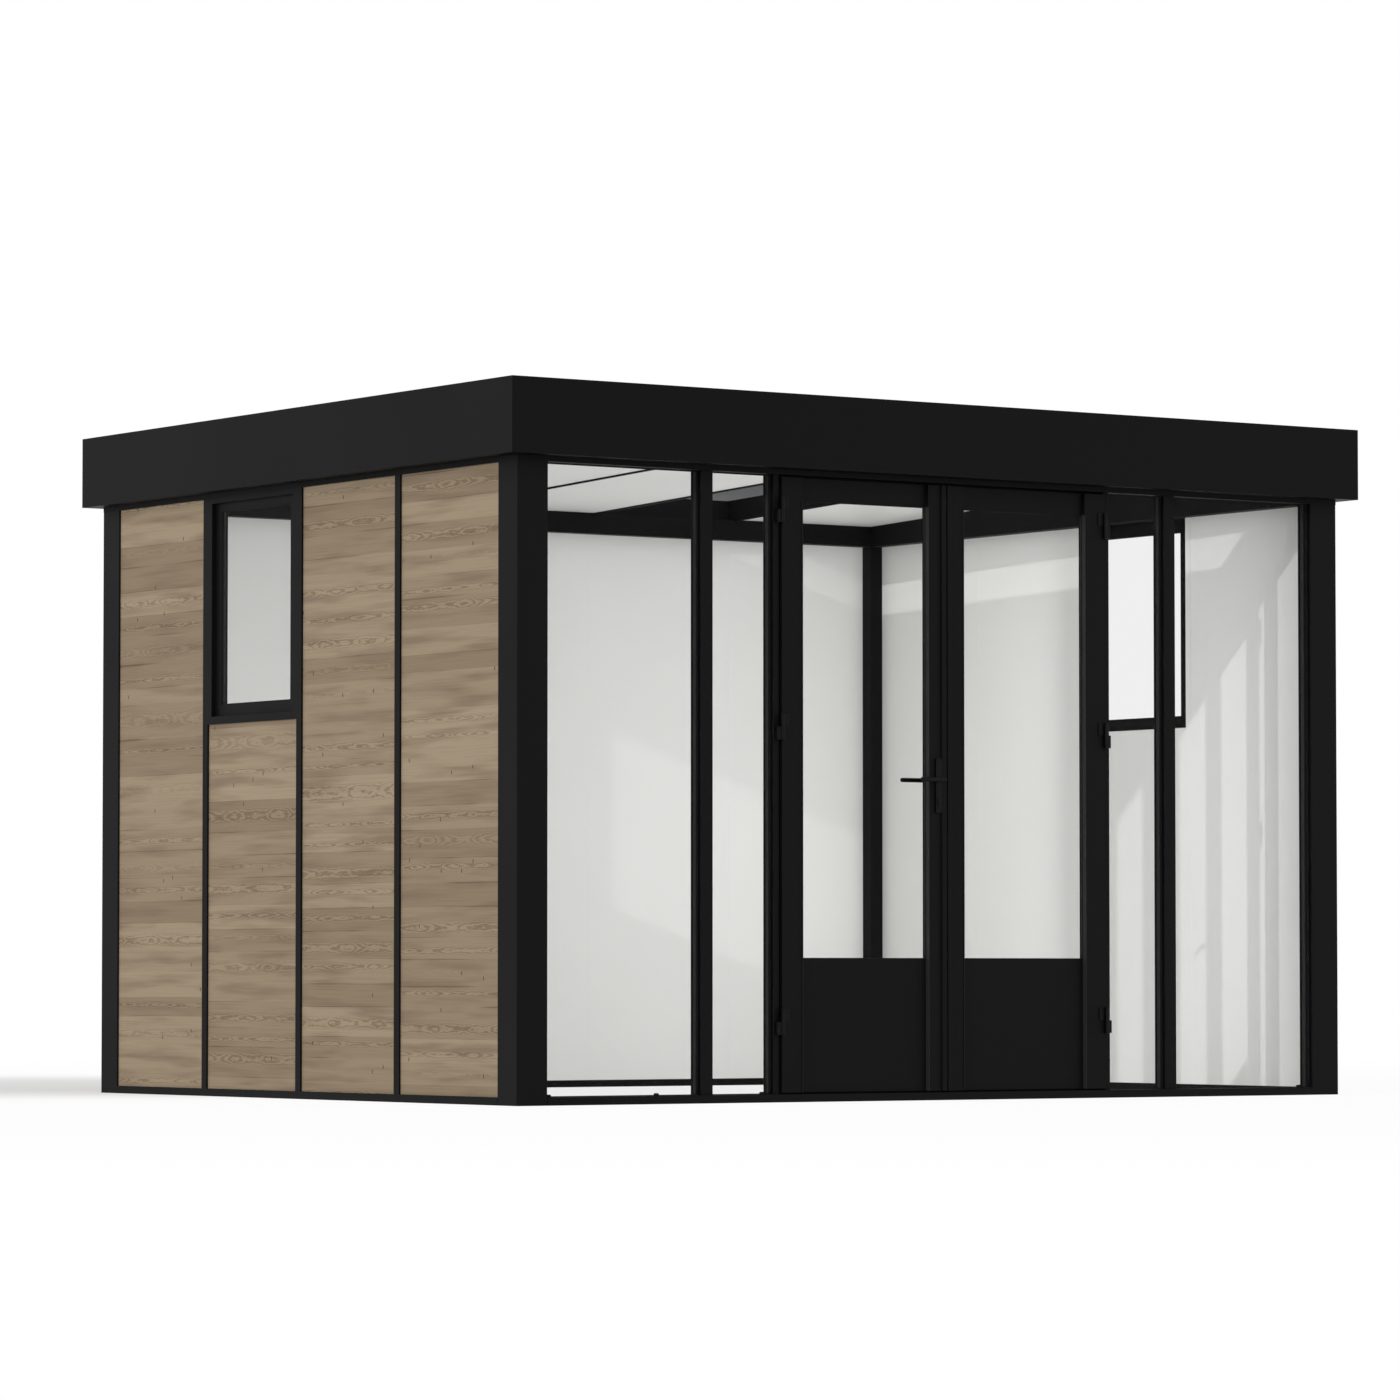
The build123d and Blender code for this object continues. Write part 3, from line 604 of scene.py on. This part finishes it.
def ceiling_strips():
    """A low strip with chamfered edges under each roof joint, from the front beam to the back beam."""
    mesh = bmesh.new()
    front_y, back_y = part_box("front_beam")[1].y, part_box("back_beam")[0].y
    under = [vert.co for vert in frame["nodes"]["roof_profiles"].data.vertices]
    head = min((point for point in under if point.y < front_y), key=lambda point: point.z)
    foot = min(under, key=lambda point: point.z)
    slope = (foot.z - head.z) / (foot.y - head.y)
    half, drop, chamfer = 7 * MM, 6 * MM, 1.5 * MM
    for low, high in solids("roof_profiles"):
        middle = (low.x + high.x) / 2
        outline = [(middle - half, 0), (middle - half, chamfer - drop), (middle - half + chamfer, -drop),
                   (middle + half - chamfer, -drop), (middle + half, chamfer - drop), (middle + half, 0)]
        prism(mesh, outline, lambda x, up, y: (x, y, head.z + slope * (y - head.y) + up), (front_y, back_y))
    piece("ceiling_joint_strips", mesh, "building", COAT)


ceiling_strips()


# Hinges: domed end caps and countersunk screws

CAP = [(0, 2.6 * MM), (3 * MM, 2.4 * MM), (5.4 * MM, 1.6 * MM), (6.6 * MM, 0.4 * MM), (6.6 * MM, 0), (0, 0)]
SCREW = [(0, 0.2 * MM), (1.1 * MM, 0.2 * MM), (1.3 * MM, 0.9 * MM), (2.6 * MM, 0.7 * MM), (3.2 * MM, 0),
         (0, 0)]


def hinge_details(leaf, side):
    """Caps on the free ends of the knuckles, and two screws in each flap of a leaf."""
    caps, jamb_caps = bmesh.new(), bmesh.new()
    radius, flap_face, screw_inset = 7 * MM, 4 * MM, 10 * MM
    screw_shares = (0.27, 0.73)
    for low, high in solids(f"{leaf}_hinges"):
        axis_x = low.x + radius if side < 0 else high.x - radius
        axis_y = low.y + radius
        turn(caps, CAP, (axis_x, axis_y, high.z), (0, 0, 1))
        flap_end = high.x if side < 0 else low.x
        for share in screw_shares:
            height = low.z + (high.z - low.z) * share
            turn(caps, SCREW, (flap_end + side * screw_inset, high.y - flap_face, height), (0, -1, 0), 12)
    for low, high in solids("jamb_hinges"):
        if low.x * side > 0:
            axis_x = high.x - radius if side < 0 else low.x + radius
            turn(jamb_caps, CAP, (axis_x, low.y + radius, low.z), (0, 0, -1))
    piece(f"{leaf}_hinge_caps", caps, leaf, FITTING, smooth=True)
    piece(f"{leaf}_jamb_hinge_caps", jamb_caps, "building", FITTING, smooth=True)


hinge_details("left_door", -1)
hinge_details("right_door", 1)


# Handle: roses round the spindle, plate screws and a profile cylinder below the lever

def handle_details():
    """Details on both plates of the left leaf."""
    mesh = bmesh.new()
    lever_low, lever_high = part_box("lever_handles")
    lever_radius, screw_inset, lock_drop = 8 * MM, 14 * MM, 72 * MM
    spindle = lever_high.x - lever_radius
    height = (lever_low.z + lever_high.z) / 2
    rose = [(8.8 * MM, 0), (12 * MM, 0), (12 * MM, 1.5 * MM), (10.5 * MM, 2.6 * MM), (8.8 * MM, 2.6 * MM),
            (8.8 * MM, 0)]
    # The cylinder has a round head and a narrower foot; its points are measured from the head's middle
    head_radius, cylinder_proud, keyhole_proud = 8 * MM, 2.5 * MM, 3 * MM
    head = [math.radians(-50 + 28 * i) for i in range(11)]
    cylinder = [(head_radius * math.cos(a), head_radius * math.sin(a)) for a in head]
    cylinder += [(-5 * MM, -21 * MM), (-3 * MM, -24 * MM), (3 * MM, -24 * MM), (5 * MM, -21 * MM)]
    keyhole = [(-0.8 * MM, -4 * MM), (0.8 * MM, -4 * MM), (0.8 * MM, 4 * MM), (-0.8 * MM, 4 * MM)]
    lock = height - lock_drop
    for low, high in solids("handle_plates"):
        out = -1 if low.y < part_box("left_door_stiles")[0].y else 1
        face = low.y if out < 0 else high.y
        turn(mesh, rose, (spindle, face, height), (0, out, 0), 32)
        for z in (high.z - screw_inset, low.z + screw_inset):
            turn(mesh, SCREW, (spindle, face, z), (0, out, 0), 16)
        for outline, near, far in ((cylinder, 0, cylinder_proud), (keyhole, cylinder_proud, keyhole_proud)):
            prism(mesh, outline, lambda x, z, y: (spindle + x, y, lock + z),
                  (face + out * near, face + out * far))
    piece("handle_plate_fittings", mesh, "left_door", FITTING)


handle_details()


# Round studs on the front rail, in front of the fixed panes

def rail_studs():
    """Low rubber studs with a rounded edge and a dimple, at the places seen in the photograph."""
    mesh = bmesh.new()
    outline = [(0, 8.6 * MM), (3 * MM, 8.6 * MM), (4.5 * MM, 9.6 * MM), (7 * MM, 9.4 * MM),
               (9 * MM, 7.5 * MM), (9.8 * MM, 3 * MM), (10 * MM, 0), (0, 0)]
    places, setback = (-1.685, -1.238, -0.790, 1.658), 26 * MM
    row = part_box("front_base_rail")[0].y + setback
    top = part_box("front_panes")[0].z
    for x in places:
        turn(mesh, outline, (x, row, top), (0, 0, 1), 28)
    piece("front_rail_studs", mesh, "building", RUBBER, smooth=True)


rail_studs()


# Roof screws with sealing washers, along the edges of the roof panels

def roof_screws():
    """Hexagon heads on domed washers, square to the fall of the roof."""
    mesh = bmesh.new()
    points = [vert.co for vert in frame["nodes"]["roof_panels"].data.vertices]
    head = max(points, key=lambda point: point.z)
    foot = max((point for point in points if point.y > 0), key=lambda point: point.y)
    slope = (foot.z - head.z) / (foot.y - head.y)
    up = Vector((0, -slope, 1)).normalized()
    washer = [(0, 1.6 * MM), (5 * MM, 1.6 * MM), (8 * MM, 0.8 * MM), (9 * MM, 0), (0, 0)]
    bolt = [(0, 6 * MM), (3.6 * MM, 6 * MM), (4.4 * MM, 5.2 * MM), (4.4 * MM, 1.6 * MM), (0, 1.6 * MM)]
    rows, shares = (-1.25, 1.30), (0.12, 0.5, 0.88)
    for low, high in solids("roof_panels"):
        if high.y < 0:
            continue
        for share in shares:
            for y in rows:
                place = (low.x + (high.x - low.x) * share, y, head.z + slope * (y - head.y))
                turn(mesh, washer, place, up, 16)
                turn(mesh, bolt, place, up, 6)
    piece("roof_screws", mesh, "building", GUTTER)


roof_screws()


# Stage: floor, light and camera

def direct_rays(tree):
    """One for rays from the camera, a mirror or through glass, and zero for light that falls on things."""
    rays = add(tree, "LightPath").outputs
    seen = add(tree, "Math", [rays["Is Camera Ray"], rays["Is Glossy Ray"]])
    return add(tree, "Math", [seen, rays["Is Transmission Ray"]], use_clamp=True)


def stage_floor():
    """Plain pale floor that looks white where it is lit and keeps a soft share of the shadow; behind the
    left wall a soft shadow is painted in.
    """
    mesh = bmesh.new()
    bmesh.ops.create_grid(mesh, x_segments=1, y_segments=1, size=150.0)
    data = bpy.data.meshes.new("floor")
    mesh.to_mesh(data)
    mesh.free()
    floor = bpy.data.objects.new("floor", data)
    bpy.context.scene.collection.objects.link(floor)
    material, tree = new_material("pale_studio_floor")
    # The glow is full far away and weaker in the room; behind the left wall it fades further, a painted
    # soft shadow added to the real shade there
    place = add(tree, "TexCoord").outputs["Object"]
    x, y = add(tree, "SeparateXYZ", [place]).outputs[:2]
    half_room, painted_shadow_middle = (1.8, 1.44), (-1.5, 3.0, 0.0)
    reach = add(tree, "VectorMath", [place], operation="LENGTH").outputs["Value"]
    white = add(tree, "MapRange", {"Value": reach, "From Min": 3.0, "From Max": 12.0,
                                   "To Min": 0.93, "To Max": 1.0}, interpolation_type="SMOOTHSTEP")
    # Painted shadow: the glow fades towards a point behind the left wall, so the floor darkens there
    # however it is lit
    reach = add(tree, "VectorMath", [place, painted_shadow_middle], operation="DISTANCE").outputs["Value"]
    painted_shadow = add(tree, "MapRange", {"Value": reach, "From Min": 0.8, "From Max": 3.2, "To Min": 0.15,
                                   "To Max": 1.0}, interpolation_type="SMOOTHSTEP")
    room = add(tree, "Math", [add(tree, "Math", [x, 0.0, half_room[0]], operation="COMPARE"),
                              add(tree, "Math", [y, 0.0, half_room[1]], operation="COMPARE")],
               operation="MULTIPLY")
    room = add(tree, "MapRange", {"Value": room, "To Min": 1.0, "To Max": 0.8})
    weak = add(tree, "Math", [painted_shadow, room], operation="MINIMUM")
    share = add(tree, "Math", [white, weak], operation="MULTIPLY")
    share = add(tree, "Math", [share, direct_rays(tree)], operation="MULTIPLY")
    matt = add(tree, "BsdfDiffuse", {"Color": linear("#f4f4f4")})
    glow = add(tree, "Emission", {"Color": linear("#ffffff"), "Strength": 1.0})
    add(tree, "OutputMaterial", {"Surface": add(tree, "MixShader", [share, matt, glow])})
    data.materials.append(material)


def stage_light():
    """Even white surroundings, a low sun from the front left, and soft lamps in the room."""
    sun_direction = Vector((2.775, 1.0, -0.909))
    world = bpy.data.worlds.new("studio")
    bpy.context.scene.world = world
    world.use_nodes = True
    tree = world.node_tree
    tree.nodes.clear()
    strength = add(tree, "MapRange", {"Value": direct_rays(tree), "To Min": 0.75, "To Max": 1.0})
    add(tree, "OutputWorld", {"Surface": add(tree, "Background", {"Color": linear("#ffffff"),
                                                                  "Strength": strength})})
    sun = bpy.data.lights.new("sun", "SUN")
    sun.energy = 0.66
    sun.angle = math.radians(0.6)
    lamp = bpy.data.objects.new("sun", sun)
    lamp.rotation_euler = sun_direction.to_track_quat("-Z", "Y").to_euler()
    bpy.context.scene.collection.objects.link(lamp)

    # Broad soft lamps even out the room: one behind the glazed front, two that face the back corners
    for name, place, turned, size, power in (
            ("front_wash", (0.0, -1.29, 1.13), 0, (2.95, 2.1), 17.0),
            ("left_wash", (-1.4, 0.1, 1.13), 12, (0.6, 2.0), 1.8),
            ("right_wash", (1.15, 0.1, 1.13), 0, (0.9, 2.0), 4.2)):
        soft = bpy.data.lights.new(name, "AREA")
        soft.shape = "RECTANGLE"
        soft.size, soft.size_y = size
        soft.energy = power
        wash = bpy.data.objects.new(name, soft)
        wash.location = place
        wash.rotation_euler = (math.radians(90), 0, math.radians(turned))
        wash.visible_camera = wash.visible_glossy = wash.visible_transmission = False
        bpy.context.scene.collection.objects.link(wash)


def stage_camera():
    """Camera at the photograph's angle: low, from the front left corner, with a long lens."""
    lens = bpy.data.cameras.new("camera")
    lens.sensor_width = 36.0
    lens.lens = 158.2
    lens.clip_end = 400.0
    look_up, turned = 2.557, -34.32
    camera = bpy.data.objects.new("camera", lens)
    camera.location = (-13.195, -19.229, 0.449)
    camera.rotation_euler = (math.radians(90 + look_up), 0, math.radians(turned))
    bpy.context.scene.collection.objects.link(camera)
    bpy.context.scene.camera = camera


stage_floor()
stage_light()
stage_camera()
bpy.context.scene.view_settings.view_transform = "Standard"
